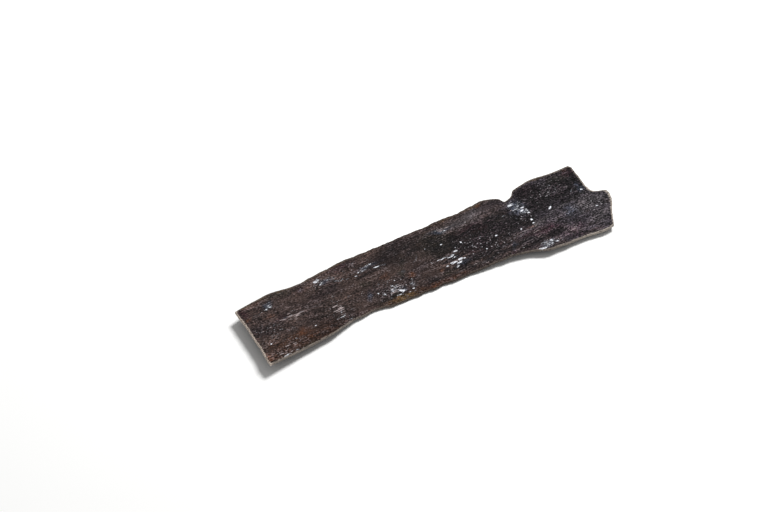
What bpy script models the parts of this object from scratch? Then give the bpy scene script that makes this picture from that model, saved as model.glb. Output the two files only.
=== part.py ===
"""A dried kelp strip: one thin, stiff piece of seaweed blade, cut straight at one end and
broken off at the other.

Metres, +Z up. The sizes below are millimetres, and MM turns them into metres.
+X runs along the strip, from its cut end to its broken end, and +Y from its front edge to
its back edge. The origin is under the middle of the strip, on the table that it lies on.
"""

import math

import bpy
from mathutils import Vector, noise

MM = 0.001

# Thickness of the blade, which is thinner along its two long edges
THICKNESS = 1.15
EDGE_THICKNESS = 0.8
THIN_MARGIN = 6.0

# Cells of the mesh along and across the strip, each about 1.7 mm
CELLS_ALONG = 96
CELLS_ACROSS = 22

# Long edges, as (x, y) at the places where their direction changes
FRONT_EDGE = (
    (-82.5, -17.4),
    (-66.8, -15.4),
    (-54.7, -13.9),
    (-41.8, -10.8),
    (-32.0, -9.7),
    (-25.3, -11.1),
    (5.0, -11.9),
    (30.0, -13.5),
    (36.2, -15.1),
    (45.5, -18.6),
    (60.0, -18.8),
    (70.0, -20.0),
    (73.8, -19.6),
)
BACK_EDGE = (
    (-81.5, 13.3),
    (-73.0, 15.5),
    (-64.0, 17.0),
    (-53.0, 16.1),
    (-41.6, 17.8),
    (-27.0, 19.5),
    (12.0, 19.8),
    (25.0, 18.8),
    (35.0, 19.9),
    (39.8, 18.7),
    (42.2, 16.9),
    (43.4, 14.7),
    (47.1, 15.7),
    (49.5, 17.8),
    (57.0, 18.7),
    (68.0, 16.4),
    (75.1, 15.8),
)

# Ends, as (y, x) from the front corner to the back corner
CUT_END = (
    (-17.4, -82.5),
    (-12.5, -82.6),
    (-7.0, -81.8),
    (5.0, -81.3),
    (13.3, -81.5),
)
BROKEN_END = (
    (-19.6, 73.8),
    (-15.3, 76.3),
    (-11.1, 78.7),
    (-8.9, 80.7),
    (-6.6, 81.9),
    (-2.3, 82.6),
    (0.4, 78.2),
    (2.5, 77.0),
    (9.8, 76.4),
    (14.4, 76.2),
    (15.8, 75.1),
)

# The shape of an end fades out over this share of the length
END_REACH = 0.12

# The torn edges wander by this much, over this length
RAGGED_DEPTH = 0.6
RAGGED_LENGTH = 5.0

# Ends that curl up from the table: x where the curl starts, x where it is highest, its height
END_CURLS = (
    (-30.0, -83.0, 4.2),
    (38.0, 83.0, 2.2),
)

# The back corner of the broken end curls further: its start and end in x and in y, its height
CORNER_CURL = (16.0, 76.0, 0.0, 17.0, 4.4)

# Waves of the long edges: start and end in x, y where the edge lifts and is highest, height
EDGE_WAVES = (
    (-6.0, 74.0, -1.0, -16.0, 2.2),
    (-72.0, -22.0, -3.0, -16.0, 0.9),
    (-64.0, -16.0, 6.0, 20.0, 1.2),
    (8.0, 42.0, 8.0, 20.0, 1.4),
)

# How sharply every curl bends: 1 is a straight slope
CURL_BEND = 1.5

# Lengthwise folds: start and end in x, y at those two places, height, half width
FOLDS = (
    (-62.0, -4.0, 14.5, 9.0, 0.5, 1.8),
    (-84.0, -30.0, 2.2, 0.2, 0.45, 2.0),
    (-90.0, -38.0, -14.0, -8.0, 0.45, 1.6),
    (6.0, 43.0, 13.0, 15.0, 0.8, 3.0),
    (-14.0, 32.0, -1.2, 2.8, 0.6, 1.6),
    (-8.0, 62.0, -6.0, -9.5, 0.6, 2.8),
    (30.0, 90.0, -1.8, -3.8, 0.6, 2.2),
    (40.0, 82.0, 10.5, 9.0, 0.5, 2.0),
)
FOLD_MEANDER = 0.7
FOLD_MEANDER_LENGTH = 46.0

# Shallow crinkles all over, long in x and short in y
CRINKLE_HEIGHT = 0.35
CRINKLE_LENGTH = 15.0
CRINKLE_WIDTH = 5.0

KELP_BROWN = (0.062, 0.046, 0.043, 1.0)
KELP_ROUGHNESS = 0.55


def blend(start, end, share):
    return start + (end - start) * share


def ramp(value, start, end):
    """0 before start, 1 past end, and a straight rise between them."""
    return min(max((value - start) / (end - start), 0.0), 1.0)


def arch(value, start, end):
    """0 outside start and end, with one round top of 1 midway."""
    return math.sin(math.pi * ramp(value, start, end))


def curl(value, start, end):
    """0 before start, then bending up ever more steeply to 1 at the end."""
    return ramp(value, start, end) ** CURL_BEND


def follow(stations, place):
    """Value at one place of a smooth curve through (place, value) stations.

    Between two stations the curve never passes beyond their values.
    """
    pairs = list(zip(stations, stations[1:]))
    steps = [(b[1] - a[1]) / (b[0] - a[0]) for a, b in pairs]
    inner = [
        2 * s * t / (s + t) if s * t > 0 else 0.0 for s, t in zip(steps, steps[1:])
    ]
    slopes = [steps[0], *inner, steps[-1]]
    index = sum(place > station[0] for station in stations[1:-1])
    (start, low), (end, high) = pairs[index]
    width = end - start
    share = (place - start) / width
    left = 1 - share
    return (
        low * left**2 * (1 + 2 * share)
        + high * share**2 * (1 + 2 * left)
        + slopes[index] * width * share * left**2
        - slopes[index + 1] * width * share**2 * left
    )


def ragged(x, y, share):
    """Wander of an edge at one point. It dies away at the corners, where share is 0 or 1."""
    wander = noise.noise(Vector((x, y, 0.0)) / RAGGED_LENGTH)
    return RAGGED_DEPTH * wander * math.sin(math.pi * share)


def long_edge(stations, share):
    x = blend(stations[0][0], stations[-1][0], share)
    y = follow(stations, x)
    return Vector((x, y + ragged(x, y, share)))


def end_edge(stations, share):
    y = blend(stations[0][0], stations[-1][0], share)
    x = follow(stations, y)
    return Vector((x + ragged(x, y, share), y))


def fade(share, reach):
    """1 at an edge, falling smoothly to 0 at this share of the way in."""
    return (1 - ramp(share, 0, reach)) ** 2


def bow(edge, stations, share):
    """How far an edge strays from the straight line between its two corners."""
    straight = blend(edge(stations, 0), edge(stations, 1), share)
    return edge(stations, share) - straight


def footprint(along, across):
    """Point (x, y) of the strip at these shares of its length and its width.

    The four corners give its place, and the shape of each edge fades out inwards.
    """
    cut_end = blend(long_edge(FRONT_EDGE, 0), long_edge(BACK_EDGE, 0), across)
    broken_end = blend(long_edge(FRONT_EDGE, 1), long_edge(BACK_EDGE, 1), across)
    return (
        blend(cut_end, broken_end, along)
        + bow(long_edge, FRONT_EDGE, along) * fade(across, 1)
        + bow(long_edge, BACK_EDGE, along) * fade(1 - across, 1)
        + bow(end_edge, CUT_END, across) * fade(along, END_REACH)
        + bow(end_edge, BROKEN_END, across) * fade(1 - along, END_REACH)
    )


def rise(x, y):
    """How far the ends, the back corner and the long edges curl up from the table."""
    ends = sum(height * curl(x, start, end) for start, end, height in END_CURLS)
    x_start, x_end, y_start, y_end, height = CORNER_CURL
    corner = height * curl(x, x_start, x_end) * curl(y, y_start, y_end)
    waves = sum(
        height * arch(x, x_start, x_end) ** 2 * curl(y, y_start, y_end)
        for x_start, x_end, y_start, y_end, height in EDGE_WAVES
    )
    return ends + corner + waves


def folds(x, y):
    """Height of the lengthwise folds. Each fades out at both ends and meanders in its own way."""
    total = 0.0
    for start, end, y_start, y_end, height, half_width in FOLDS:
        meander = FOLD_MEANDER * math.sin(math.tau * x / FOLD_MEANDER_LENGTH + y_start)
        crest = blend(y_start, y_end, (x - start) / (end - start)) + meander
        side = (y - crest) / half_width
        total += height * arch(x, start, end) * math.exp(-side * side)
    return total


def crinkle(x, y):
    patch = Vector((x / CRINKLE_LENGTH, y / CRINKLE_WIDTH, 0.0))
    return CRINKLE_HEIGHT * noise.noise(patch)


def fullness(across):
    """1 where the blade has its full thickness, falling to 0 at the two long edges."""
    width = BACK_EDGE[0][1] - FRONT_EDGE[0][1]
    edge_distance = min(across, 1 - across) * width
    return math.sin(math.pi / 2 * ramp(edge_distance, 0, THIN_MARGIN))


def blade_point(along, across):
    """Point of the surface midway between the two faces."""
    x, y = footprint(along, across)
    thickness = blend(EDGE_THICKNESS, THICKNESS, fullness(across))
    return Vector((x, y, thickness / 2 + rise(x, y) + folds(x, y) + crinkle(x, y)))


def clear_scene():
    for old in list(bpy.data.objects):
        bpy.data.objects.remove(old)


def kelp_material():
    material = bpy.data.materials.new("dried_kelp")
    material.use_nodes = True
    shader = material.node_tree.nodes["Principled BSDF"]
    shader.inputs["Base Color"].default_value = KELP_BROWN
    shader.inputs["Roughness"].default_value = KELP_ROUGHNESS
    shader.inputs["Metallic"].default_value = 0.0
    material.diffuse_color = KELP_BROWN
    return material


def thicken(strip):
    """Splits the sheet into triangles, then gives it two faces that are split alike."""
    split = strip.modifiers.new("split", "TRIANGULATE")
    split.quad_method = "FIXED"
    skin = strip.modifiers.new("thickness", "SOLIDIFY")
    skin.thickness = THICKNESS * MM
    skin.offset = 0.0
    skin.vertex_group = "fullness"
    skin.thickness_vertex_group = EDGE_THICKNESS / THICKNESS


def set_on_table(strip):
    """Lowers the sheet until its lowest point touches z = 0."""
    graph = bpy.context.evaluated_depsgraph_get()
    body = strip.evaluated_get(graph).to_mesh()
    lowest = min(vertex.co.z for vertex in body.vertices)
    for vertex in strip.data.vertices:
        vertex.co.z -= lowest


def kelp_strip(parts):
    bpy.ops.mesh.primitive_grid_add(
        x_subdivisions=CELLS_ALONG, y_subdivisions=CELLS_ACROSS, size=1
    )
    strip = bpy.context.object
    strip.name = strip.data.name = "kelp_strip"
    for home in list(strip.users_collection):
        home.objects.unlink(strip)
    parts.objects.link(strip)
    weights = strip.vertex_groups.new(name="fullness")
    for vertex in strip.data.vertices:
        along, across = vertex.co.x + 0.5, vertex.co.y + 0.5
        vertex.co = blade_point(along, across) * MM
        weights.add([vertex.index], fullness(across), "REPLACE")
    thicken(strip)
    set_on_table(strip)
    strip.data.materials.append(kelp_material())
    strip.data.shade_smooth()
    return strip


def main():
    clear_scene()
    parts = bpy.data.collections.new("dried_kelp_strip")
    bpy.context.scene.collection.children.link(parts)
    kelp_strip(parts)


main()
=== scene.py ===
import math
import random

import bpy
from mathutils import Euler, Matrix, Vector, noise


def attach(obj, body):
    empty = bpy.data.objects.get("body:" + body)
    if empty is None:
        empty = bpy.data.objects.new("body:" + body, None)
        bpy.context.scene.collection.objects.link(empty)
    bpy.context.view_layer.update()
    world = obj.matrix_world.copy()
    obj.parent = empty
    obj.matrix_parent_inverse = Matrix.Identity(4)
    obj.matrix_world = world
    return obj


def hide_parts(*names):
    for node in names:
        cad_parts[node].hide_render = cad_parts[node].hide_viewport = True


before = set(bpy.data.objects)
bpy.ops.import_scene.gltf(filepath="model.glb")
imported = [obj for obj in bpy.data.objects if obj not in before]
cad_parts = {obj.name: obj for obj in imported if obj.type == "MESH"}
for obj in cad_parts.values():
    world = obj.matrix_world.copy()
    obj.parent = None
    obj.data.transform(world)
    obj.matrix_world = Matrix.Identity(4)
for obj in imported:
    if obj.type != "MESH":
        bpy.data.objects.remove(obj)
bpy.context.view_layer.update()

# The blade: one strip of dried kelp, cut straight at its left end and broken off at its right.
# It is a leathery seaweed frond that shrank as it dried, so it is stiff, wrinkled lengthwise,
# thinner at its long edges, and lies on the table with its two ends curled up.
MM = 0.001

# Thickness in mm, which falls to that of the edge over this margin along both long edges
THICKNESS = 1.15
EDGE_THICKNESS = 0.8
THIN_MARGIN = 6.0

# Cells of the mesh along and across the strip, each about 0.4 mm
CELLS_ALONG = 420
CELLS_ACROSS = 104

# Long edges, as (x, y) in mm at the places where their direction changes
FRONT_EDGE = (
    (-82.5, -17.4),
    (-66.8, -15.4),
    (-54.7, -13.9),
    (-41.8, -10.8),
    (-32.0, -9.7),
    (-25.3, -11.1),
    (5.0, -11.9),
    (30.0, -13.5),
    (36.2, -15.1),
    (45.5, -18.6),
    (60.0, -18.8),
    (70.0, -20.0),
    (73.8, -19.6),
)
BACK_EDGE = (
    (-81.5, 13.3),
    (-73.0, 15.5),
    (-64.0, 17.0),
    (-53.0, 16.1),
    (-41.6, 17.8),
    (-27.0, 19.5),
    (12.0, 19.8),
    (25.0, 18.8),
    (35.0, 19.9),
    (39.8, 18.7),
    (42.2, 16.9),
    (43.4, 14.7),
    (47.1, 15.7),
    (49.5, 17.8),
    (57.0, 18.7),
    (68.0, 16.4),
    (75.1, 15.8),
)

# Ends, as (y, x) from the front corner to the back corner
CUT_END = (
    (-17.4, -82.5),
    (-12.5, -82.6),
    (-7.0, -81.8),
    (5.0, -81.3),
    (13.3, -81.5),
)
BROKEN_END = (
    (-19.6, 73.8),
    (-15.3, 76.3),
    (-11.1, 78.7),
    (-8.9, 80.7),
    (-6.6, 81.9),
    (-2.3, 82.6),
    (0.4, 78.2),
    (2.5, 77.0),
    (9.8, 76.4),
    (14.4, 76.2),
    (15.8, 75.1),
)

# The shape of an end fades out over this share of the length
END_REACH = 0.12

# The edges wander by this much over this length, and fray more finely on top of it
RAGGED_DEPTH = 0.6
RAGGED_LENGTH = 5.0
FRAY_DEPTH = 0.22
FRAY_LENGTH = 1.3

# Curls: x where each end starts to rise, x where it is highest, height. The back corner of
# the broken end curls further: its start and end in x and in y, its height
END_CURLS = (
    (-30.0, -83.0, 4.2),
    (38.0, 83.0, 2.2),
)
CORNER_CURL = (16.0, 76.0, 0.0, 17.0, 4.4)
CURL_BEND = 1.5

# Waves of the long edges: start and end in x, y where the edge lifts and is highest, height
EDGE_WAVES = (
    (-6.0, 74.0, -1.0, -16.0, 2.2),
    (-72.0, -22.0, -3.0, -16.0, 0.9),
    (-64.0, -16.0, 6.0, 20.0, 1.2),
    (8.0, 42.0, 8.0, 20.0, 1.4),
)

# Lengthwise folds: start and end in x, y at those two places, height, half width
FOLDS = (
    (-62.0, -4.0, 14.5, 9.0, 0.5, 1.8),
    (-84.0, -30.0, 2.2, 0.2, 0.45, 2.0),
    (-90.0, -38.0, -14.0, -8.0, 0.45, 1.6),
    (6.0, 43.0, 13.0, 15.0, 0.8, 3.0),
    (-14.0, 32.0, -1.2, 2.8, 0.6, 1.6),
    (-8.0, 62.0, -6.0, -9.5, 0.6, 2.8),
    (30.0, 90.0, -1.8, -3.8, 0.6, 2.2),
    (40.0, 82.0, 10.5, 9.0, 0.5, 2.0),
)
FOLD_MEANDER = 0.7
FOLD_MEANDER_LENGTH = 46.0

# Shallow crinkles all over, long in x and short in y
CRINKLE_HEIGHT = 0.35
CRINKLE_LENGTH = 15.0
CRINKLE_WIDTH = 5.0

# Drying wrinkles, from coarse to fine: length along the strip, width across it, height
WRINKLES = (
    (19.0, 2.6, 0.20),
    (8.0, 1.5, 0.13),
    (3.2, 0.9, 0.07),
)

# Height of a wrinkle's sharp crest, and how steeply its sides fall, as shares of its height
WRINKLE_CREST = 0.5
WRINKLE_SLOPE = 2.5

# The wrinkles swerve by this much, and come and go in stretches: length, width in mm, strength
WRINKLE_SWERVE = (13.0, 9.0, 0.8)
WRINKLE_STRETCHES = (14.0, 8.0, 0.9)

# They sink to this share at the rim, over this many mm
RIM_WRINKLES = 0.35
RIM_REACH = 2.0

# Small pits all over the skin
PIT_WIDTH = 0.9
PIT_DEPTH = 0.05


def blend(start, end, share):
    return start + (end - start) * share


def ramp(value, start, end):
    """0 before start, 1 past end, and a straight rise between them."""
    return min(max((value - start) / (end - start), 0.0), 1.0)


def arch(value, start, end):
    """0 outside start and end, with one round top of 1 midway."""
    return math.sin(math.pi * ramp(value, start, end))


def curl(value, start, end):
    """0 before start, then bending up ever more steeply to 1 at the end."""
    return ramp(value, start, end) ** CURL_BEND


def follow(stations, place):
    """Value at one place of a smooth curve through (place, value) stations."""
    pairs = list(zip(stations, stations[1:]))
    steps = [(b[1] - a[1]) / (b[0] - a[0]) for a, b in pairs]
    inner = [
        2 * s * t / (s + t) if s * t > 0 else 0.0 for s, t in zip(steps, steps[1:])
    ]
    slopes = [steps[0], *inner, steps[-1]]
    index = sum(place > station[0] for station in stations[1:-1])
    (start, low), (end, high) = pairs[index]
    width = end - start
    share = (place - start) / width
    left = 1 - share
    return (
        low * left**2 * (1 + 2 * share)
        + high * share**2 * (1 + 2 * left)
        + slopes[index] * width * share * left**2
        - slopes[index + 1] * width * share**2 * left
    )


def ragged(x, y, share):
    """Wander of an edge at one point, with the small frays of a torn leaf on top of it."""
    wander = RAGGED_DEPTH * noise.noise(Vector((x, y, 0.0)) / RAGGED_LENGTH)
    fray = FRAY_DEPTH * noise.noise(Vector((x, y, 0.0)) / FRAY_LENGTH)
    return (wander + fray) * math.sin(math.pi * share)


def long_edge(stations, share):
    x = blend(stations[0][0], stations[-1][0], share)
    y = follow(stations, x)
    return Vector((x, y + ragged(x, y, share)))


def end_edge(stations, share):
    y = blend(stations[0][0], stations[-1][0], share)
    x = follow(stations, y)
    return Vector((x + ragged(x, y, share), y))


def bows(edge, stations, cells):
    """How far an edge strays from the line between its corners, at each of its stations."""
    shares = [k / cells for k in range(cells + 1)]
    first, last = edge(stations, 0), edge(stations, 1)
    return [edge(stations, share) - blend(first, last, share) for share in shares]


front_bow = bows(long_edge, FRONT_EDGE, CELLS_ALONG)
back_bow = bows(long_edge, BACK_EDGE, CELLS_ALONG)
cut_bow = bows(end_edge, CUT_END, CELLS_ACROSS)
broken_bow = bows(end_edge, BROKEN_END, CELLS_ACROSS)
corners = [
    long_edge(edge, share) for edge in (FRONT_EDGE, BACK_EDGE) for share in (0, 1)
]


def footprint(i, j):
    """Point (x, y) of the grid's station i along the strip and j across it."""
    along, across = i / CELLS_ALONG, j / CELLS_ACROSS
    front = blend(corners[0], corners[1], along)
    back = blend(corners[2], corners[3], along)
    return (
        blend(front, back, across)
        + front_bow[i] * (1 - across) ** 2
        + back_bow[i] * across**2
        + cut_bow[j] * (1 - ramp(along, 0, END_REACH)) ** 2
        + broken_bow[j] * (1 - ramp(1 - along, 0, END_REACH)) ** 2
    )


def rise(x, y):
    """How far the ends, the back corner and the long edges curl up from the table."""
    ends = sum(height * curl(x, start, end) for start, end, height in END_CURLS)
    x_start, x_end, y_start, y_end, height = CORNER_CURL
    corner = height * curl(x, x_start, x_end) * curl(y, y_start, y_end)
    waves = sum(
        height * arch(x, x_start, x_end) ** 2 * curl(y, y_start, y_end)
        for x_start, x_end, y_start, y_end, height in EDGE_WAVES
    )
    return ends + corner + waves


def folds(x, y):
    """Height of the lengthwise folds. Each fades out at both ends and meanders in its own way."""
    total = 0.0
    for start, end, y_start, y_end, height, half_width in FOLDS:
        meander = FOLD_MEANDER * math.sin(math.tau * x / FOLD_MEANDER_LENGTH + y_start)
        crest = blend(y_start, y_end, (x - start) / (end - start)) + meander
        side = (y - crest) / half_width
        total += height * arch(x, start, end) * math.exp(-side * side)
    return total


def crinkle(x, y):
    patch = Vector((x / CRINKLE_LENGTH, y / CRINKLE_WIDTH, 0.0))
    return CRINKLE_HEIGHT * noise.noise(patch)


def wrinkles(x, y):
    """Height of the drying wrinkles: sharp crests with round valleys, turned along the strip.

    They are high in some stretches of the blade and all but gone in others. The third number
    of a place in the noise, here and below, only picks another pattern.
    """
    total = 0.0
    swerve_length, swerve_width, swerve = WRINKLE_SWERVE
    for row, (length, width, height) in enumerate(WRINKLES):
        bend = swerve * noise.noise(
            Vector((x / swerve_length, y / swerve_width, row + 0.5))
        )
        crest = noise.noise(Vector((x / length, (y + bend) / width, row + 3.5)))
        total += height * (WRINKLE_CREST - WRINKLE_SLOPE * abs(crest))
    stretch_length, stretch_width, strength = WRINKLE_STRETCHES
    stretch = noise.noise(Vector((x / stretch_length, y / stretch_width, 1.5)))
    return total * strength * (1 + stretch)


def fullness(across):
    """1 where the blade has its full thickness, falling to 0 at the two long edges."""
    width = BACK_EDGE[0][1] - FRONT_EDGE[0][1]
    edge_distance = min(across, 1 - across) * width
    return math.sin(math.pi / 2 * ramp(edge_distance, 0, THIN_MARGIN))


# Where the surface is marked, in mm: x, y, half length, half width, turn in degrees, strength.
# White bloom is the kelp's own sugar, dried out in crusts, dots and strokes along the creases
BLOOM = (
    (-79.0, -0.2, 2.0, 0.4, 0, 0.7),
    (-77.3, -8.3, 0.45, 0.45, 0, 1.1),
    (-78.6, -7.7, 0.4, 0.4, 0, 0.9),
    (-75.5, -1.7, 0.9, 0.4, -10, 0.75),
    (-74.0, -0.3, 0.9, 0.4, 0, 0.75),
    (-71.5, 0.2, 1.2, 0.6, 20, 0.85),
    (-77.5, 11.0, 0.6, 0.5, 30, 0.8),
    (-70.2, 9.2, 1.2, 0.9, 20, 0.85),
    (-68.6, 10.2, 2.2, 1.3, 20, 0.9),
    (-67.3, 12.6, 1.4, 0.7, 25, 0.75),
    (-73.6, 8.0, 2.4, 0.3, 25, 0.7),
    (-60.5, 9.4, 0.8, 0.5, 0, 0.85),
    (-53.5, 12.5, 1.5, 1.1, 20, 0.7),
    (-63.0, 2.3, 2.1, 0.4, 0, 0.85),
    (-59.0, 1.8, 2.0, 0.35, 0, 0.85),
    (-61.0, 3.9, 2.2, 0.3, 0, 0.75),
    (-59.0, 0.5, 3.0, 0.3, 0, 0.8),
    (-66.0, 2.0, 1.3, 0.6, 20, 0.75),
    (-57.0, -6.8, 1.1, 0.4, 15, 0.85),
    (-67.3, -10.3, 1.0, 0.6, 50, 0.9),
    (-74.0, -15.8, 2.6, 0.35, 12, 0.95),
    (-69.0, -14.7, 2.6, 0.3, 8, 0.8),
    (-76.5, -14.0, 2.4, 0.3, 8, 0.75),
    (-71.5, -13.0, 2.4, 0.3, 8, 0.7),
    (-47.8, -1.2, 0.7, 0.5, 0, 0.95),
    (-45.0, -0.5, 1.6, 0.5, 0, 0.85),
    (-43.6, 0.7, 3.6, 0.3, 0, 0.85),
    (-44.8, -4.8, 0.8, 1.2, 0, 0.85),
    (-45.4, -7.4, 1.8, 0.4, 25, 1.0),
    (-48.0, -8.0, 0.8, 0.4, 0, 0.85),
    (-43.4, -9.8, 1.5, 0.5, 20, 0.75),
    (-43.0, 4.0, 1.4, 0.3, 0, 0.75),
    (-45.4, 14.0, 2.4, 1.7, 10, 0.88),
    (-44.3, 12.0, 1.6, 1.1, 30, 0.95),
    (-47.5, 12.0, 1.0, 0.5, 20, 0.95),
    (-40.0, 12.6, 4.0, 1.4, 0, 0.76),
    (-37.2, 10.5, 2.8, 0.5, -5, 0.95),
    (-33.8, 9.9, 1.5, 0.4, 0, 0.8),
    (-30.3, 9.3, 1.0, 0.8, 0, 0.95),
    (-28.5, 10.2, 1.3, 0.5, 15, 0.95),
    (-25.9, 10.2, 2.4, 1.0, 12, 0.85),
    (-24.0, 11.8, 4.0, 1.0, 12, 0.83),
    (-20.4, 9.8, 2.4, 0.8, 0, 1.0),
    (-17.8, 9.4, 1.6, 0.6, 0, 0.95),
    (-28.6, 15.2, 2.0, 1.4, 30, 0.7),
    (-37.6, 1.1, 1.6, 0.8, 0, 0.75),
    (-33.2, 0.7, 1.4, 0.7, 0, 0.8),
    (-24.8, 1.0, 0.5, 0.4, 0, 0.9),
    (-18.3, -0.2, 0.45, 0.45, 0, 1.2),
    (-27.4, -3.3, 0.5, 0.45, 0, 1.15),
    (-25.4, -5.0, 0.9, 0.7, 0, 1.0),
    (-24.2, -7.6, 1.0, 0.5, 0, 0.8),
    (-20.0, -4.6, 5.0, 3.0, -12, 0.74),
    (-21.5, -4.8, 1.1, 1.0, 0, 1.15),
    (-20.6, -2.5, 0.8, 0.5, 0, 1.0),
    (-19.3, -5.9, 1.2, 0.8, -30, 1.05),
    (-18.2, -6.8, 1.8, 0.8, -20, 1.1),
    (-16.6, -5.0, 1.6, 0.7, -40, 0.85),
    (-14.4, -8.0, 1.0, 0.5, -20, 0.95),
    (-12.8, -5.4, 1.7, 1.0, -20, 0.84),
    (-15.8, -8.8, 1.4, 0.4, -10, 0.9),
    (-20.2, -7.9, 1.6, 0.4, 0, 0.95),
    (-11.8, -2.9, 0.6, 0.4, 0, 0.85),
    (-13.3, 2.3, 1.0, 0.4, 30, 0.7),
    (-4.2, 6.4, 2.6, 0.3, 50, 0.75),
    (-6.3, 4.6, 1.6, 0.25, 50, 0.7),
    (-0.5, 0.2, 1.2, 0.3, -60, 0.95),
    (3.7, -0.2, 3.4, 0.45, 0, 1.15),
    (7.6, -0.7, 2.6, 0.5, 4, 1.2),
    (9.6, -1.5, 1.8, 0.45, 0, 1.0),
    (10.8, 0.9, 1.7, 0.45, 12, 1.35),
    (12.3, 2.8, 0.8, 0.45, 30, 1.3),
    (15.4, 4.6, 0.6, 0.5, 20, 1.6),
    (13.0, 6.2, 0.4, 0.4, 0, 0.85),
    (8.0, 7.2, 0.5, 0.5, 0, 1.5),
    (1.4, 8.3, 0.45, 0.45, 0, 1.2),
    (3.8, -4.3, 1.1, 0.6, 0, 1.05),
    (7.6, -3.9, 3.0, 0.6, 3, 1.2),
    (10.5, -3.5, 1.4, 0.6, 10, 1.35),
    (12.1, -3.8, 0.6, 0.5, 0, 1.5),
    (8.9, -5.4, 1.8, 0.7, 15, 1.05),
    (7.4, -6.7, 1.2, 0.5, 10, 1.0),
    (12.6, 13.0, 2.4, 0.6, -8, 0.9),
    (9.8, 15.4, 2.6, 0.9, -12, 0.8),
    (23.4, 12.3, 2.2, 0.3, 0, 0.7),
    (22.9, -4.0, 0.7, 0.5, 0, 1.4),
    (20.4, -3.3, 0.5, 0.9, 0, 0.9),
    (18.8, 0.7, 0.5, 0.5, 0, 0.9),
    (29.8, 0.5, 0.5, 0.45, 0, 1.3),
    (24.4, 3.1, 0.5, 0.4, 0, 0.85),
    (36.3, -4.3, 1.2, 0.9, 0, 0.85),
    (34.7, -2.2, 0.5, 0.6, 0, 0.9),
    (40.4, -1.7, 0.8, 0.45, 40, 1.4),
    (38.8, 8.4, 1.4, 0.6, -10, 0.95),
    (36.9, 9.6, 0.6, 0.4, 60, 0.95),
    (42.3, 4.4, 0.5, 0.4, 0, 1.0),
    (36.0, -15.2, 1.3, 0.5, 30, 0.9),
    (34.7, -12.1, 0.6, 0.5, 0, 0.85),
    (44.0, 11.8, 2.4, 1.5, 20, 1.02),
    (46.4, 9.2, 3.4, 3.4, 0, 0.85),
    (47.4, 6.4, 2.6, 1.9, -10, 0.92),
    (43.6, 9.0, 1.6, 1.4, 0, 0.8),
    (48.2, 4.6, 0.6, 0.5, 0, 1.4),
    (43.6, 7.6, 0.9, 0.6, 0, 0.85),
    (47.5, 0.9, 0.8, 0.45, 30, 1.6),
    (46.9, -1.3, 0.7, 0.45, 30, 1.6),
    (57.6, 2.7, 1.5, 0.5, 37, 1.6),
    (59.1, 3.9, 0.5, 0.3, 30, 0.95),
    (61.0, 9.5, 1.6, 0.7, 0, 0.6),
    (63.6, 12.0, 0.6, 0.45, 0, 0.9),
    (61.7, 5.6, 1.2, 0.4, 20, 0.6),
    (69.9, 5.2, 0.8, 0.5, 40, 0.85),
    (74.2, 4.0, 0.8, 0.8, 0, 0.85),
    (65.4, -3.8, 1.0, 0.7, 0, 0.85),
    (74.2, -7.0, 0.7, 0.45, 0, 1.0),
    (72.9, -5.5, 0.6, 0.4, 0, 0.9),
    (76.2, -2.5, 0.8, 0.5, 0, 0.8),
    (60.6, -13.4, 2.0, 1.2, 20, 0.7),
    (45.2, -15.0, 5.6, 2.6, 4, 0.87),
    (41.6, -16.4, 2.8, 1.5, 10, 1.02),
    (46.0, -15.6, 2.4, 1.0, 20, 1.0),
    (40.3, -17.2, 1.0, 0.7, 20, 1.1),
    (49.0, -15.8, 1.6, 0.5, 0, 0.95),
    (51.2, -16.2, 0.8, 0.4, 0, 0.95),
)

# Loose sugar grains, scattered over a whole stretch of the blade
SALTED = (
    (22.5, -1.5, 8.5, 6.0, -15, 1.6),
    (36.0, -3.5, 5.0, 4.0, 0, 0.8),
    (75.0, -5.0, 6.5, 5.0, 0, 0.9),
    (61.0, -3.0, 6.0, 4.0, 0, 0.6),
    (60.0, 10.0, 9.0, 5.0, 0, 0.65),
    (45.0, 2.0, 6.0, 5.0, 0, 1.0),
    (-45.0, -4.0, 5.0, 6.0, 0, 0.6),
    (-20.0, -5.0, 8.0, 5.0, -15, 1.0),
    (-72.0, -4.0, 9.0, 8.0, 0, 0.45),
    (-30.0, 15.0, 8.0, 3.5, 0, 0.7),
    (9.0, -2.0, 7.0, 5.0, 0, 0.4),
    (58.0, -13.0, 6.0, 3.5, 0, 0.5),
)

# Places where the blade is thin enough to show its orange-brown flesh
THIN_SPOTS = (
    (-62.4, -7.8, 3.2, 2.6, -30, 1.0),
    (-61.0, -11.5, 2.2, 1.4, 0, 0.6),
    (-81.4, -14.8, 1.3, 1.8, 0, 1.0),
    (-72.2, 14.2, 1.6, 1.0, 0, 0.7),
    (-78.8, 6.4, 1.8, 0.9, 0, 0.6),
    (-70.5, 5.0, 2.4, 0.9, 0, 0.5),
    (-10.4, -1.0, 1.7, 1.4, 20, 1.0),
    (-23.4, -9.6, 3.4, 1.5, 0, 0.9),
    (-16.0, -10.4, 4.0, 1.0, 0, 0.7),
    (-5.0, -10.8, 6.0, 1.3, 0, 0.9),
    (2.0, -5.3, 1.3, 1.1, 0, 0.9),
    (5.0, -10.6, 4.0, 1.1, 0, 0.8),
    (-19.6, 3.4, 2.2, 2.4, 0, 0.5),
    (32.2, 18.0, 1.6, 0.8, 0, 0.8),
    (24.0, 6.5, 5.0, 1.6, 0, 0.35),
    (44.5, -2.8, 2.0, 0.6, 0, 0.5),
    (65.0, -17.6, 6.0, 1.4, 0, 0.2),
    (72.8, 15.4, 2.0, 0.6, -15, 0.8),
)

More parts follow.
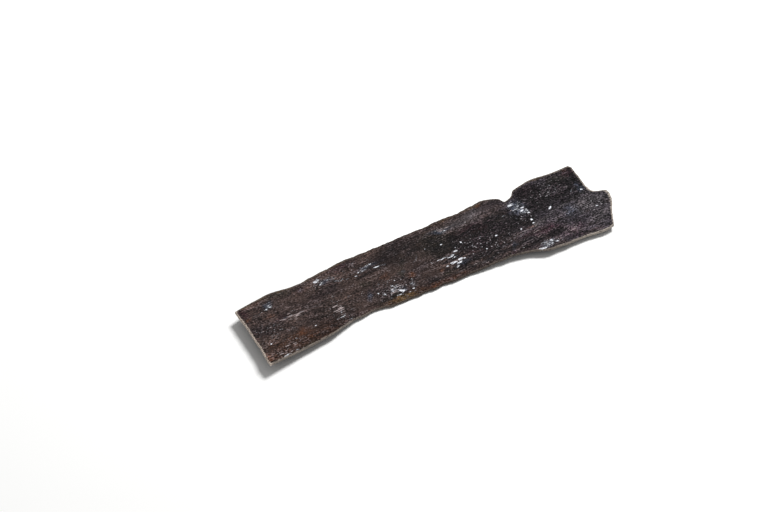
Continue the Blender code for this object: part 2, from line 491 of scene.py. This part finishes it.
# Greenish patches, golden-brown flesh near the edges, painted shade over the hollows, purple-red
# hollows, a painted highlight on greyish swells, and bluish salt haze
OLIVE_PATCHES = (
    (7.0, 8.5, 8.0, 7.0, 0, 0.9),
    (-9.5, 6.5, 5.0, 1.8, 50, 0.5),
    (-14.5, 1.5, 1.5, 2.6, 0, 0.6),
    (-62.5, 14.6, 6.0, 1.8, 0, 0.6),
    (-62.5, -14.4, 2.6, 0.9, 8, 0.6),
    (-29.6, 4.0, 2.2, 1.8, 0, 0.6),
    (-21.0, -8.8, 6.5, 1.8, -8, 0.7),
    (3.0, -7.9, 2.4, 1.0, 0, 0.7),
    (68.0, 12.5, 4.5, 3.0, -10, 0.8),
    (34.0, 8.5, 5.0, 3.0, 0, 0.6),
    (46.0, -1.0, 3.0, 5.0, 0, 0.4),
)
GOLDEN_FLESH = (
    (-20.0, -10.3, 7.0, 1.8, -4, 1.0),
    (-77.0, 14.3, 5.0, 0.7, 15, 0.8),
    (-68.0, 16.2, 5.0, 0.7, 8, 0.8),
    (-58.0, 16.2, 5.0, 0.7, -5, 0.8),
    (-47.0, 16.7, 6.0, 0.7, 8, 0.8),
    (-36.0, 18.2, 6.0, 0.7, 8, 0.6),
    (22.0, 18.6, 14.0, 0.6, 0, 0.6),
    (62.0, 17.4, 9.0, 0.6, -8, 0.8),
)
# Painted shade: these marks lay a near-black tone on the hollows and on the fold sides turned from
# the lamp.
PAINTED_SHADE_HOLLOWS = (
    (6.0, 7.5, 8.0, 7.5, 0, 0.66),
    (14.0, 4.5, 8.0, 7.5, 0, 0.85),
    (24.0, 1.5, 9.0, 6.8, -6, 0.95),
    (34.0, 3.0, 8.5, 7.5, 0, 0.95),
    (43.0, 3.5, 7.0, 5.5, 0, 0.85),
    (20.0, 8.0, 8.0, 1.3, 3, 0.9),
    (33.0, 9.5, 7.0, 1.6, 8, 0.9),
    (14.0, -6.5, 6.0, 2.2, 0, 0.9),
    (26.0, -6.5, 8.0, 2.6, -5, 0.9),
    (55.0, 9.0, 9.0, 7.5, 0, 0.9),
    (66.0, 8.0, 9.0, 5.5, 0, 0.95),
    (74.0, 7.0, 6.0, 5.0, 0, 0.9),
    (40.0, -10.3, 7.0, 2.6, -2, 0.85),
    (51.0, -11.0, 6.0, 2.2, -2, 0.8),
    (20.0, -6.0, 11.0, 2.6, -3, 0.9),
    (12.0, -12.0, 26.0, 2.6, -5, 0.42),
    (-8.0, 12.0, 13.0, 6.5, 0, 0.6),
    (8.5, -2.4, 6.0, 1.1, 3, 0.95),
    (10.0, -7.6, 5.0, 0.9, 0, 0.9),
    (-48.0, -4.5, 11.0, 6.5, 0, 0.42),
    (-63.0, 2.4, 9.0, 2.6, 3, 0.3),
    (-56.0, -5.0, 1.6, 1.0, 0, 0.6),
    (-26.0, 8.2, 9.0, 0.8, 0, 0.6),
    (-46.8, 10.8, 2.0, 0.7, 20, 0.8),
    (-5.0, -8.4, 3.0, 1.2, 0, 0.6),
    (3.6, -6.4, 3.0, 1.6, 0, 0.7),
    (26.0, -9.8, 8.0, 1.8, -3, 0.85),
    (52.5, 14.0, 5.0, 2.8, -6, 0.8),
    (68.0, 2.0, 6.0, 1.6, 0, 0.6),
)
RED_HOLLOWS = (
    (21.0, -0.5, 8.5, 5.0, -20, 0.9),
    (22.0, 8.0, 8.0, 2.2, -4, 0.9),
    (54.0, 14.0, 6.0, 3.0, -6, 0.8),
    (73.5, 13.6, 3.0, 2.0, -15, 1.3),
    (48.0, -8.0, 10.0, 3.5, -12, 0.75),
    (59.0, -13.0, 5.0, 4.0, 0, 0.55),
    (-79.0, 10.5, 3.0, 3.5, 0, 0.6),
    (-66.0, 3.0, 4.0, 2.0, 10, 0.5),
    (-53.5, 12.5, 2.4, 1.8, 0, 0.7),
    (-34.0, 16.5, 8.0, 2.5, 0, 0.5),
    (31.0, -13.2, 2.4, 1.2, 0, 0.9),
)
# Painted highlight: a lighter grey laid on the swells and along the fold crests.
PAINTED_HIGHLIGHT_SWELLS = (
    (23.0, 14.2, 10.0, 3.0, 3, 0.65),
    (15.0, -9.8, 11.0, 0.9, -4, 0.6),
    (72.0, -4.0, 8.0, 4.5, -5, 0.8),
    (72.0, -12.0, 5.0, 4.0, 20, 0.6),
    (73.9, -11.5, 1.4, 2.0, 0, 1.0),
    (49.0, -2.4, 9.0, 0.8, 14, 1.0),
    (68.0, 1.6, 10.0, 0.7, 5, 1.0),
    (-12.6, -5.6, 1.8, 1.6, 30, 0.9),
    (-13.4, 2.4, 1.4, 0.9, 30, 0.8),
    (-76.0, 7.3, 2.6, 0.7, 25, 0.5),
)
BLUE_HAZE = (
    (-68.4, 11.0, 3.0, 1.4, 25, 0.9),
    (-43.0, 12.4, 4.0, 1.3, 0, 0.6),
    (-24.0, 11.4, 6.0, 1.0, 3, 0.6),
    (-30.6, -2.6, 3.0, 1.2, 62, 0.8),
    (-17.6, -5.6, 3.0, 1.4, -25, 0.6),
    (9.4, -5.8, 3.0, 1.3, 0, 0.8),
    (11.5, 14.0, 4.5, 1.4, -12, 0.9),
    (32.6, -9.0, 2.5, 0.9, 58, 1.0),
    (45.8, 9.5, 3.0, 4.4, 0, 0.8),
    (64.0, 9.0, 8.0, 4.0, 0, 0.12),
    (74.4, 5.2, 1.4, 2.6, 0, 0.9),
    (63.8, -3.6, 3.2, 3.4, 0, 0.6),
    (-66.2, 2.0, 1.6, 0.8, 20, 0.6),
    (45.0, -15.5, 4.0, 2.0, 0, 0.5),
)

# The blade turns from a warm brown at its front left to a cool violet brown at the right.
# It has fine light strokes in some places, and is smooth in others
COOL_SKIN = ((66.0, 0.0, 34.0, 30.0, 0, 1.0),)
WARM_SKIN = (
    (-64.0, -13.0, 24.0, 6.0, 4, 1.0),
    (-16.0, -11.0, 17.0, 2.6, 0, 1.0),
)
STREAKED = (
    (-62.0, 2.0, 8.0, 2.8, 5, 1.02),
    (-45.5, -3.5, 4.5, 6.0, 0, 1.0),
    (-73.0, -13.8, 9.0, 2.8, 8, 0.94),
    (-74.0, -1.0, 6.0, 2.6, 10, 0.85),
    (-70.0, 9.0, 6.0, 2.6, 20, 0.6),
    (-56.0, -7.0, 3.0, 1.4, 15, 0.7),
    (-34.0, 0.6, 5.0, 2.0, 0, 0.7),
    (-26.0, 11.0, 10.0, 2.6, 3, 0.7),
    (-20.0, -4.5, 9.0, 4.0, -10, 0.9),
    (18.0, -10.0, 14.0, 2.4, -5, 0.8),
    (24.0, 12.5, 8.0, 2.2, 3, 0.5),
    (11.0, 14.2, 5.0, 2.2, -12, 0.95),
    (7.0, -2.0, 8.0, 4.5, 5, 0.4),
    (44.0, -5.5, 8.0, 3.0, 10, 0.8),
    (62.0, -12.5, 9.0, 3.0, 8, 0.8),
    (60.0, 6.0, 6.0, 2.0, 20, 0.5),
    (70.0, -5.0, 10.0, 6.0, 0, 0.6),
    (44.0, -15.0, 6.0, 3.0, 0, 0.8),
    (46.0, 9.0, 4.0, 5.0, 0, 0.8),
)
SMOOTH_SKIN = (
    (-12.0, 7.0, 13.0, 8.0, 0, 0.8),
    (-4.0, -4.0, 6.0, 5.0, 0, 0.8),
    (-36.0, 5.0, 9.0, 4.0, 0, 0.6),
    (28.0, 15.5, 12.0, 3.0, 3, 0.7),
    (-57.0, 8.0, 8.0, 4.0, 0, 0.6),
    (-62.0, -7.0, 6.0, 3.5, 0, 0.7),
    (-35.0, -6.0, 6.0, 3.0, 0, 0.6),
)


# A mark narrower than this would break up into dots on the mesh, and one has faded out at
# this many times its own size
LEAST_HALF_WIDTH = 0.45
MARK_REACH = 3


def cover(x, y, marks, firmness):
    """How strongly the marks of one kind cover a point. A firm mark is flat with a sharp border."""
    strongest = 0.0
    for mark_x, mark_y, half_length, half_width, turn, strength in marks:
        dx, dy = x - mark_x, y - mark_y
        if abs(dx) + abs(dy) < MARK_REACH * (half_length + half_width):
            angle = math.radians(turn)
            along = (dx * math.cos(angle) + dy * math.sin(angle)) / half_length
            across = dy * math.cos(angle) - dx * math.sin(angle)
            across /= max(half_width, LEAST_HALF_WIDTH)
            here = strength * math.exp(-((along * along + across * across) ** firmness))
            strongest = max(strongest, here)
    return strongest


def wander(x, y, length, depth):
    """The point, moved a little, so that no mark has a smooth outline.

    It moves up to twice as far along the strip as across it.
    """
    spot = Vector((x, y, 7.5)) / length
    return (
        x + 2 * depth * noise.noise(spot),
        y + depth * noise.noise(spot + Vector((0, 0, 9.0))),
    )


# Each kind of mark: the length and depth that its outline wanders by, and its firmness
KINDS = {
    "bloom": (BLOOM, 1.6, 0.4, 2.0),
    "salted": (SALTED, 6.0, 2.0, 1.0),
    "streaked": (STREAKED, 5.0, 1.5, 2.0),
    "smooth": (SMOOTH_SKIN, 6.0, 2.0, 1.0),
    "warm": (WARM_SKIN, 9.0, 3.0, 1.0),
    "cool": (COOL_SKIN, 9.0, 3.0, 1.0),
    "thin": (THIN_SPOTS, 3.0, 1.0, 1.0),
    "olive": (OLIVE_PATCHES, 5.0, 1.5, 1.0),
    "golden": (GOLDEN_FLESH, 3.0, 0.6, 1.0),
    "dark": (PAINTED_SHADE_HOLLOWS, 5.0, 1.5, 2.0),
    "red": (RED_HOLLOWS, 5.0, 1.5, 1.0),
    "grey": (PAINTED_HIGHLIGHT_SWELLS, 4.0, 1.0, 1.0),
    "blue": (BLUE_HAZE, 3.0, 0.8, 1.0),
}

# How pale the torn rim is, from the cut end to the broken end: partly its bare tissue and partly a
# painted highlight on a wall that faces away from the lamp
RIM_PALENESS_AND_HIGHLIGHT = (
    (-82.6, 0.65),
    (-45.0, 0.55),
    (-32.0, 0.3),
    (0.0, 0.1),
    (35.0, 0.35),
    (52.0, 0.7),
    (66.0, 1.1),
    (82.6, 1.4),
)
RIM_WIDTH = 1.0

# Painted shade on the back edge's rim: from mid width to near this edge the rim loses this much of
# its paleness
BACK_RIM_SHADE = (0.5, 0.9, 0.6)

# The fresh cut face shows over this stretch from the cut end, in mm
FRESH_CUT = (0.2, 1.2)

# The relief that paints shade into the wrinkle valleys and a highlight onto the crests is all of
# the fine wrinkles and this share of the folds
FOLD_SHARE = 0.18

# Points of the two faces in mm, and at each of them the measures that the material reads
rows = range(CELLS_ALONG + 1)
columns = range(CELLS_ACROSS + 1)
length = BACK_EDGE[-1][0] - BACK_EDGE[0][0]
width = BACK_EDGE[0][1] - FRONT_EDGE[0][1]
upper, lower = [], []
measures = {name: [] for name in (*KINDS, "rim", "pale", "fresh", "relief")}
for i in rows:
    for j in columns:
        along, across = i / CELLS_ALONG, j / CELLS_ACROSS
        x, y = footprint(i, j)
        edge_distance = min(
            min(across, 1 - across) * width, min(along, 1 - along) * length
        )
        full = blend(EDGE_THICKNESS, THICKNESS, fullness(across))
        fine = wrinkles(x, y)
        fine *= blend(RIM_WRINKLES, 1, ramp(edge_distance, 0, RIM_REACH))
        middle = full / 2 + rise(x, y) + folds(x, y) + crinkle(x, y) + fine
        pits = PIT_DEPTH * noise.noise(Vector((x, y, 2.5)) / PIT_WIDTH)
        upper.append(Vector((x, y, middle + full / 2 + pits)))
        lower.append(Vector((x, y, middle - full / 2 - pits)))
        for name, (marks, wander_length, wander_depth, firmness) in KINDS.items():
            place = wander(x, y, wander_length, wander_depth)
            measures[name].append(cover(*place, marks, firmness))
        measures["rim"].append(1 - ramp(edge_distance, 0.0, RIM_WIDTH))
        measures["fresh"].append(1 - ramp(along * length, *FRESH_CUT))
        measures["relief"].append(fine + FOLD_SHARE * folds(x, y))
        start, end, loss = BACK_RIM_SHADE
        measures["pale"].append(
            follow(RIM_PALENESS_AND_HIGHLIGHT, x) * (1 - loss * ramp(across, start, end))
        )

# The underside has this share of the bloom of the upper face
UNDERSIDE_BLOOM = 0.45
lowest = min(point.z for point in lower)


def kelp_blade():
    """Closes the two faces with a wall all round and sets the blade on the table.

    Every vertex keeps its measures, which the material reads.
    """
    stride = CELLS_ACROSS + 1
    count = len(upper)
    ring = (
        [i * stride for i in range(CELLS_ALONG)]
        + [CELLS_ALONG * stride + j for j in range(CELLS_ACROSS)]
        + [i * stride + CELLS_ACROSS for i in range(CELLS_ALONG, 0, -1)]
        + [j for j in range(CELLS_ACROSS, 0, -1)]
    )
    wall = [(upper[at] + lower[at]) / 2 for at in ring]
    points = [(p - Vector((0, 0, lowest))) * MM for p in (*upper, *lower, *wall)]
    faces = []
    for i in range(CELLS_ALONG):
        for j in range(CELLS_ACROSS):
            a = i * stride + j
            b, c, d = a + stride, a + stride + 1, a + 1
            faces.append((a, b, c, d))
            faces.append((count + a, count + d, count + c, count + b))
    for k, at in enumerate(ring):
        following = (k + 1) % len(ring)
        beside = ring[following]
        here, there = 2 * count + k, 2 * count + following
        faces.append((at, here, there, beside))
        faces.append((here, count + at, count + beside, there))
    mesh = bpy.data.meshes.new("kelp_blade")
    mesh.from_pydata(points, [], faces)
    for name, values in measures.items():
        edge_values = [1.0 if name == "rim" else values[at] for at in ring]
        if name in ("bloom", "salted"):
            under = [UNDERSIDE_BLOOM * value for value in values]
        else:
            under = values
        layer = mesh.attributes.new(name, "FLOAT", "POINT")
        layer.data.foreach_set("value", [*values, *under, *edge_values])
    mesh.shade_smooth()
    blade = bpy.data.objects.new("kelp_blade", mesh)
    bpy.context.scene.collection.objects.link(blade)
    return blade


blade = kelp_blade()


def paint(code):
    """Turns an sRGB hex colour to the linear values that a shader takes."""
    shares = [int(code[k : k + 2], 16) / 255 for k in (1, 3, 5)]
    return (
        *(s / 12.92 if s <= 0.04045 else ((s + 0.055) / 1.055) ** 2.4 for s in shares),
        1.0,
    )


def node(tree, kind, settings=None, **links):
    """Adds a node. Settings are its own values, and links name its inputs: a value or a socket."""
    made = tree.nodes.new(kind)
    for name, value in (settings or {}).items():
        setattr(made, name, value)
    for name, value in links.items():
        key = int(name[1:]) if name[1:].isdigit() else name.replace("_", " ")
        if isinstance(value, bpy.types.NodeSocket):
            tree.links.new(value, made.inputs[key])
        else:
            made.inputs[key].default_value = value
    return made


# Dried kelp: air-dried brown algae, leathery and almost black-brown, with a matt to satin skin.
# The eye sees dark pores and pale crests all over it, fibres along it, white sugar bloom in
# crusts, orange flesh where it is thin, and a pale rim where it was cut or torn.
# Part of that colour is painted light: painted shade in the hollows and wrinkle valleys, and a
# painted highlight on the crests, swells and rim.
kelp = bpy.data.materials.new("air_dried_kelp")
kelp.use_nodes = True
tree = kelp.node_tree
shader = tree.nodes["Principled BSDF"]
where = node(tree, "ShaderNodeTexCoord").outputs["Object"]
look = {}
for name in measures:
    stored = node(tree, "ShaderNodeAttribute", {"attribute_name": name})
    look[name] = stored.outputs["Fac"]

# Grain of the skin: length and width of its features in mm, and how many finer layers it has.
# Real pores and skin cells are about 0.2 mm wide, too fine to show, and are drawn about three
# times as wide.
GRAINS = {
    "clouds": (17.0, 8.0, 3.0),
    "patches": (3.5, 1.6, 2.0),
    "fibres": (6.0, 0.5, 1.0),
    "strokes": (5.0, 0.45, 1.0),
    "skin": (0.9, 0.5, 1.0),
    "pores": (0.75, 0.55, 0.0),
    "crust": (1.7, 0.45, 2.0),
}
for name, (long, wide, layers) in GRAINS.items():
    scaled = node(
        tree,
        "ShaderNodeMapping",
        Vector=where,
        Scale=(1 / (long * MM), 1 / (wide * MM), 1 / (wide * MM)),
    )
    grain = node(
        tree,
        "ShaderNodeTexNoise",
        Vector=scaled.outputs[0],
        Scale=1.0,
        Detail=layers,
    )
    look[name] = grain.outputs["Fac"]

# A dark and a lighter brown lie over the whole blade in soft clouds
share = node(tree, "ShaderNodeMapRange", Value=look["clouds"], From_Min=0.35, From_Max=0.65)
colour = node(
    tree,
    "ShaderNodeMix",
    {"data_type": "RGBA"},
    _0=share.outputs[0],
    _6=paint("#261d1d"),
    _7=paint("#3f322e"),
).outputs[2]

# Tones over them, one on the other: what it follows, how much it covers, its colour. Each is
# uneven by the patches, and grows from nothing to its most between these two strengths
TONE_START, TONE_FULL = 0.04, 0.4
TONES = (
    ("cool", 0.9, "#2b272d"),
    ("warm", 0.9, "#301f17"),
    ("red", 0.8, "#28141b"),
    # The grey tone is a painted highlight on the swells and fold crests.
    ("grey", 0.9, "#3e3a3c"),
    ("olive", 0.8, "#201f16"),
    ("thin", 0.7, "#4a2c1b"),
    ("golden", 0.75, "#4b3a22"),
    # The dark tone is painted shade in the hollows and on the fold sides turned from the lamp.
    ("dark", 0.93, "#0d090b"),
    ("blue", 0.75, "#2d323d"),
)
for name, most, code in TONES:
    uneven = node(
        tree, "ShaderNodeMath", {"operation": "MULTIPLY"}, _0=look[name], _1=look["patches"]
    )
    share = node(
        tree,
        "ShaderNodeMapRange",
        Value=uneven.outputs[0],
        From_Min=TONE_START,
        From_Max=TONE_FULL,
        To_Max=most,
    )
    colour = node(
        tree,
        "ShaderNodeMix",
        {"data_type": "RGBA"},
        _0=share.outputs[0],
        _6=colour,
        _7=paint(code),
    ).outputs[2]

# How much darker or lighter the grain makes the skin: the grain's low and high values, and
# the change of tone at each of them. The smooth places of the skin lose most of it, and the
# cool end has more of it
SMOOTH_LOSS = 0.8
COOL_GAIN = 0.4
SHADES = (
    ("patches", 0.36, 0.64, -0.25, 0.25),
    # Painted light: this row darkens the valleys as painted shade and lightens the crests as a
    # painted highlight.
    ("relief", 0.02, 0.2, -0.1, 0.7),
    ("fibres", 0.38, 0.66, -0.3, 0.6),
    ("skin", 0.36, 0.64, -0.55, 0.65),
    ("pores", 0.36, 0.64, -0.45, 0.45),
)
sharp = node(
    tree, "ShaderNodeMath", {"operation": "MULTIPLY_ADD"}, _0=look["cool"], _1=COOL_GAIN, _2=1.0
)
rough = node(
    tree,
    "ShaderNodeMath",
    {"operation": "MULTIPLY_ADD"},
    _0=look["smooth"],
    _1=-SMOOTH_LOSS,
    _2=sharp.outputs[0],
)
for name, low, high, darkest, lightest in SHADES:
    change = node(
        tree,
        "ShaderNodeMapRange",
        Value=look[name],
        From_Min=low,
        From_Max=high,
        To_Min=darkest,
        To_Max=lightest,
    )
    shade = node(
        tree,
        "ShaderNodeMath",
        {"operation": "MULTIPLY_ADD"},
        _0=change.outputs[0],
        _1=rough.outputs[0],
        _2=1.0,
    )
    colour = node(
        tree,
        "ShaderNodeVectorMath",
        {"operation": "SCALE"},
        _0=colour,
        Scale=shade.outputs[0],
    ).outputs[0]

# White matter on the skin: loose sugar grains, bloom, and the bare rim, partly painted highlight.
# The grains lie this many mm apart, reach out by up to this share of it, and few lie outside the
# salted stretches
GRAIN_SPACING = 0.9
GRAIN_SIZE = 0.45
STRAY_GRAINS = 0.03
specks = node(tree, "ShaderNodeTexVoronoi", Vector=where, Scale=1 / (GRAIN_SPACING * MM))
size = node(
    tree,
    "ShaderNodeMapRange",
    Value=specks.outputs["Color"],
    From_Min=0.35,
    From_Max=0.8,
    To_Max=GRAIN_SIZE,
)
inside = node(
    tree,
    "ShaderNodeMath",
    {"operation": "SUBTRACT", "use_clamp": True},
    _0=size.outputs[0],
    _1=specks.outputs["Distance"],
)
dust = node(tree, "ShaderNodeMath", {"operation": "ADD"}, _0=look["salted"], _1=STRAY_GRAINS)
sown = node(
    tree, "ShaderNodeMath", {"operation": "MULTIPLY"}, _0=inside.outputs[0], _1=dust.outputs[0]
)

# Fine pale flecks, which only the dark hollows have
speckled = node(
    tree, "ShaderNodeMath", {"operation": "MULTIPLY"}, _0=look["dark"], _1=look["skin"]
)

# Crusts and dots of bloom, light strokes, and the torn rim with its painted highlight, each broken
# up by its grain
crusted = node(
    tree, "ShaderNodeMath", {"operation": "MULTIPLY"}, _0=look["bloom"], _1=look["crust"]
)
stroked = node(
    tree, "ShaderNodeMath", {"operation": "MULTIPLY"}, _0=look["streaked"], _1=look["strokes"]
)
torn = node(tree, "ShaderNodeMath", {"operation": "MULTIPLY"}, _0=look["rim"], _1=look["skin"])
bare_and_lit_rim = node(
    tree,
    "ShaderNodeMix",
    {"data_type": "RGBA"},
    _0=look["pale"],
    _6=paint("#33261f"),
    _7=paint("#a0968d"),
)
cut = node(
    tree,
    "ShaderNodeMix",
    {"data_type": "RGBA"},
    _0=look["fresh"],
    _6=bare_and_lit_rim.outputs[2],
    _7=paint("#c4b6aa"),
)

# Crests get a pale tone, partly rubbed wear and partly painted highlight, but less of it in the
# painted-shade hollows, as if they were lower by this much
HOLLOW_LOSS = 0.12
worn_and_lit_crests = node(
    tree,
    "ShaderNodeMath",
    {"operation": "MULTIPLY_ADD"},
    _0=look["dark"],
    _1=-HOLLOW_LOSS,
    _2=look["relief"],
)
crest_glints_and_wear = node(
    tree, "ShaderNodeMath", {"operation": "ADD"}, _0=look["pores"], _1=worn_and_lit_crests.outputs[0]
)

# Each kind of white matter: what it follows, where that starts and where it is full, how much
# it covers, its colour
DEPOSITS = (
    # Painted highlight on the crests and pores, standing in for glints, partly rubbed wear.
    (crest_glints_and_wear, 0.6, 0.8, 0.3, paint("#8a8083")),
    (speckled, 0.53, 0.66, 0.35, paint("#7b6770")),
    (stroked, 0.55, 0.585, 1.0, paint("#aa9d9c")),
    (sown, 0.02, 0.22, 0.8, paint("#a7a3a7")),
    (crusted, 0.36, 0.48, 0.5, paint("#7c8089")),
    (crusted, 0.48, 0.54, 1.0, paint("#e6e8ee")),
    # The rim's colour, its fresh cut face too, is partly bare tissue and partly painted highlight.
    (torn, 0.14, 0.42, 1.0, cut.outputs[2]),
)
for driver, low, high, most, tint in DEPOSITS:
    share = node(
        tree,
        "ShaderNodeMapRange",
        Value=driver.outputs[0],
        From_Min=low,
        From_Max=high,
        To_Max=most,
    )
    colour = node(
        tree,
        "ShaderNodeMix",
        {"data_type": "RGBA"},
        _0=share.outputs[0],
        _6=colour,
        _7=tint,
    ).outputs[2]
tree.links.new(colour, shader.inputs["Base Color"])

# The skin is glossier on its crests. Its fibres, grain and pores stand 0.1 to 0.3 mm proud
RELIEF_DEPTH = 0.5
gloss = node(
    tree,
    "ShaderNodeMapRange",
    Value=look["skin"],
    From_Min=0.35,
    From_Max=0.65,
    To_Min=0.75,
    To_Max=0.5,
)
tree.links.new(gloss.outputs[0], shader.inputs["Roughness"])
height = 0.0
for name, part in (("fibres", 0.6), ("skin", 1.0), ("pores", 0.6)):
    height = node(
        tree,
        "ShaderNodeMath",
        {"operation": "MULTIPLY_ADD"},
        _0=look[name],
        _1=part,
        _2=height,
    ).outputs[0]
bump = node(tree, "ShaderNodeBump", Strength=1.0, Distance=RELIEF_DEPTH * MM, Height=height)
tree.links.new(bump.outputs[0], shader.inputs["Normal"])
shader.inputs["IOR"].default_value = 1.45
shader.inputs["Specular IOR Level"].default_value = 0.12
blade.data.materials.append(kelp)
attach(blade, "root")
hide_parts("kelp_strip")

# The sugar crystals: mannitol that came out of the blade as it dried and set in hard white
# grains. They cling in clusters to the thick bloom of the upper face, and each is under half
# a millimetre wide.

# They grow where the bloom is at least this strong, in clusters of this length and width in
# mm where the noise passes this limit, at this share of the blade's vertices there
THICK_BLOOM = 0.55
CLUSTER_LENGTH, CLUSTER_WIDTH = 1.2, 0.5
CLUSTER_LIMIT = 0.1
CRYSTAL_SHARE = 0.4

# A crystal is a bent octahedron. In mm: from its middle to a corner, how far it lies from the
# blade's vertex, and how far above it. The other two are shares of its size
CRYSTAL_REACH = (0.06, 0.16)
CRYSTAL_SCATTER = 0.2
CRYSTAL_RISE = 0.02
CRYSTAL_UNEVENNESS = (0.6, 1.2)
CRYSTAL_FLATNESS = 0.6
CORNERS = (
    (1, 0, 0),
    (0, 1, 0),
    (-1, 0, 0),
    (0, -1, 0),
    (0, 0, 1),
    (0, 0, -1),
)
SIDES = (
    (0, 1, 4),
    (1, 2, 4),
    (2, 3, 4),
    (3, 0, 4),
    (1, 0, 5),
    (2, 1, 5),
    (3, 2, 5),
    (0, 3, 5),
)
draw = random.Random(11)
thick_bloom = [k for k, value in enumerate(measures["bloom"]) if value > THICK_BLOOM]
draw.shuffle(thick_bloom)
points, faces = [], []
for at in thick_bloom:
    spot = upper[at] - Vector((0, 0, lowest))
    cluster = noise.noise(Vector((spot.x / CLUSTER_LENGTH, spot.y / CLUSTER_WIDTH, 5.5)))
    if cluster > CLUSTER_LIMIT and draw.random() < CRYSTAL_SHARE:
        aside = [draw.uniform(-CRYSTAL_SCATTER, CRYSTAL_SCATTER) for _ in range(2)]
        spot += Vector((*aside, CRYSTAL_RISE))
        turn = Euler([draw.uniform(0, math.tau) for _ in range(3)])
        reach = draw.uniform(*CRYSTAL_REACH)
        first = len(points)
        for corner in CORNERS:
            bent = Vector(corner) * reach * draw.uniform(*CRYSTAL_UNEVENNESS)
            bent.rotate(turn)
            bent.z *= CRYSTAL_FLATNESS
            points.append((spot + bent) * MM)
        faces += [tuple(first + k for k in side) for side in SIDES]
mesh = bpy.data.meshes.new("bloom_crystals")
mesh.from_pydata(points, [], faces)
crystals = bpy.data.objects.new("bloom_crystals", mesh)
bpy.context.scene.collection.objects.link(crystals)

# Crystallised kelp sugar: fine needles grown into each other. The eye sees matt white grains,
# some of them with a faint cool tint.
TINT_LENGTH = 1.5
sugar = bpy.data.materials.new("crystallised_kelp_sugar")
sugar.use_nodes = True
tree = sugar.node_tree
shader = tree.nodes["Principled BSDF"]
where = node(tree, "ShaderNodeTexCoord").outputs["Object"]
patches = node(tree, "ShaderNodeTexNoise", Vector=where, Scale=1 / (TINT_LENGTH * MM))
tint = node(
    tree,
    "ShaderNodeMix",
    {"data_type": "RGBA"},
    _0=patches.outputs["Fac"],
    _6=paint("#c9ccd4"),
    _7=paint("#f2f1ec"),
)
tree.links.new(tint.outputs[2], shader.inputs["Base Color"])
shader.inputs["Roughness"].default_value = 0.6
crystals.data.materials.append(sugar)
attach(crystals, "root")

# The table: a plain painted board, wide enough to fill every view. The strip lies loose on it,
# and the board is a tenth of a millimetre lower, so that the two surfaces never mix.
bpy.ops.mesh.primitive_plane_add(size=4.0, location=(0, 0, -0.1 * MM))
table = bpy.context.object
table.name = "table"

# Matt white paint: the eye sees an even, light tone with next to no shine.
pale = bpy.data.materials.new("matt_white_paint")
pale.use_nodes = True
shader = pale.node_tree.nodes["Principled BSDF"]
shader.inputs["Base Color"].default_value = paint("#f4f4f3")
shader.inputs["Roughness"].default_value = 0.9
shader.inputs["Specular IOR Level"].default_value = 0.1
table.data.materials.append(pale)

# The light: one soft round lamp above the strip, to its right and a little behind it, and a
# bright room all round, which keeps the shadow soft and pale.
lamp = bpy.data.lights.new("soft_lamp", "AREA")
lamp.shape = "DISK"
lamp.size = 0.35
lamp.energy = 10.5
lamp_object = bpy.data.objects.new("soft_lamp", lamp)
lamp_object.location = (0.45, 0.20, 0.80)
lamp_object.rotation_euler = (-lamp_object.location).to_track_quat("-Z", "Y").to_euler()
bpy.context.scene.collection.objects.link(lamp_object)
world = bpy.data.worlds.new("bright_room")
world.use_nodes = True
world.node_tree.nodes["Background"].inputs["Color"].default_value = (1.0, 1.0, 1.0, 1.0)
world.node_tree.nodes["Background"].inputs["Strength"].default_value = 0.35
bpy.context.scene.world = world
bpy.context.scene.view_settings.view_transform = "Standard"

# The camera: an 85 mm lens in front of the strip and to its left, 45 degrees above the table
# and turned by 30.6 degrees, so that the cut end is nearest.
lens = bpy.data.cameras.new("camera")
lens.lens = 85.0
lens.sensor_width = 36.0
lens.clip_start, lens.clip_end = 0.01, 10.0
camera = bpy.data.objects.new("camera", lens)
camera.location = Vector((-275.35, -426.47, 512.9)) * MM
aim = Vector((-14.05, 14.83, 0.0)) * MM
camera.rotation_euler = (aim - camera.location).to_track_quat("-Z", "Y").to_euler()
bpy.context.scene.collection.objects.link(camera)
bpy.context.scene.camera = camera
